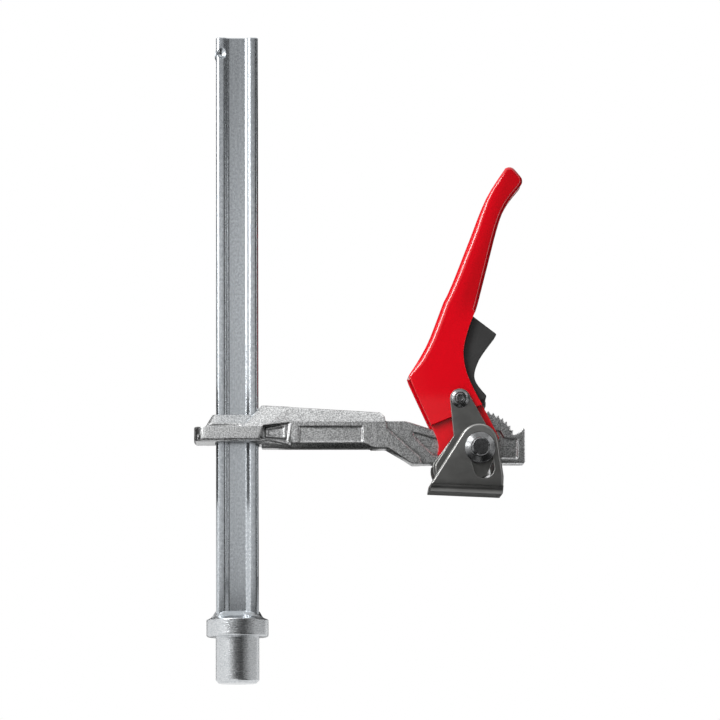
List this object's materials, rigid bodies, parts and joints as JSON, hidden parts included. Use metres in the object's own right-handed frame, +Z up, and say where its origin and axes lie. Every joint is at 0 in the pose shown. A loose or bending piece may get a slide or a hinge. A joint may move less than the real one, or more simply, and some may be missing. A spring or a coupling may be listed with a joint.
{
  "type": "lever clamp with table pin",
  "caption": "Bench lever clamp: a grooved rail on a round table pin, a sliding arm of fixed reach, and a ratchet lever whose cams press a swivelling, slotted foot on the work.",
  "frame": {"origin": "centre of the collar's underside, on the axis of the pin, where the pin enters the table", "axes": "+Z up the rail, +X out along the arm towards the pressure foot, -Y towards the front of the clamp"},
  "size_m": [0.2145, 0.051, 0.4225],
  "materials": {
    "rail_steel": "drawn and zinc plated",
    "bolt_steel": "turned and zinc plated",
    "forged_steel": "forged, blasted and zinc plated",
    "red_enamel": "gloss enamel",
    "dark_sheet": "pressed sheet, dark zinc",
    "pin_steel": "turned, dark zinc",
    "black_plastic": "moulded",
    "spring_wire": "drawn wire"
  },
  "bodies": {
    "rail_assembly": {"rail": "rail_steel", "table_bolt": "bolt_steel", "weld_beads": "bolt_steel"},
    "arm": {"sliding_arm": "forged_steel"},
    "lever_assembly": {"lever": "red_enamel", "cam_plate_front": "dark_sheet", "cam_plate_rear": "dark_sheet", "spacer_front": "pin_steel", "spacer_rear": "pin_steel", "lever_rivet": "pin_steel", "rivet_washer_front": "pin_steel", "rivet_washer_rear": "pin_steel", "trigger_spring": "spring_wire"},
    "trigger_assembly": {"trigger": "black_plastic", "pawl": "dark_sheet", "pawl_pin": "pin_steel"},
    "foot_pivot": {"pivot_pin": "pin_steel", "pivot_washer_front": "pin_steel", "pivot_washer_rear": "pin_steel"},
    "foot": {"pressure_foot": "dark_sheet"}
  },
  "joints": [
    {"name": "arm_slide", "type": "slide", "parent": "rail_assembly", "child": "arm", "axis": [0, 0, 1], "range_m": [-0.09, 0.228]},
    {"name": "lever_swing", "type": "hinge", "parent": "arm", "child": "lever_assembly", "pos_m": [0.1565, 0, 0.121], "axis": [0, 1, 0], "range_deg": [0, 50]},
    {"name": "trigger_squeeze", "type": "hinge", "parent": "lever_assembly", "child": "trigger_assembly", "pos_m": [0.144, 0, 0.1532], "axis": [0, 1, 0], "range_deg": [-10, 0], "stiffness_Nm_per_rad": 0.6, "springref_deg": 5.73, "deforming": ["trigger_spring"]},
    {"name": "foot_swivel", "type": "hinge", "parent": "arm", "child": "foot_pivot", "pos_m": [0.1565, 0, 0.121], "axis": [0, 1, 0], "range_deg": [-12, 0]},
    {"name": "foot_lift", "type": "slide", "parent": "foot_pivot", "child": "foot", "axis": [-0.1719, 0, 0.9851], "range_m": [0, 0.0095]}
  ],
  "couplings": [
    {"joint": "foot_lift", "follows": "lever_swing", "m_per_rad": 0.0105}
  ]
}
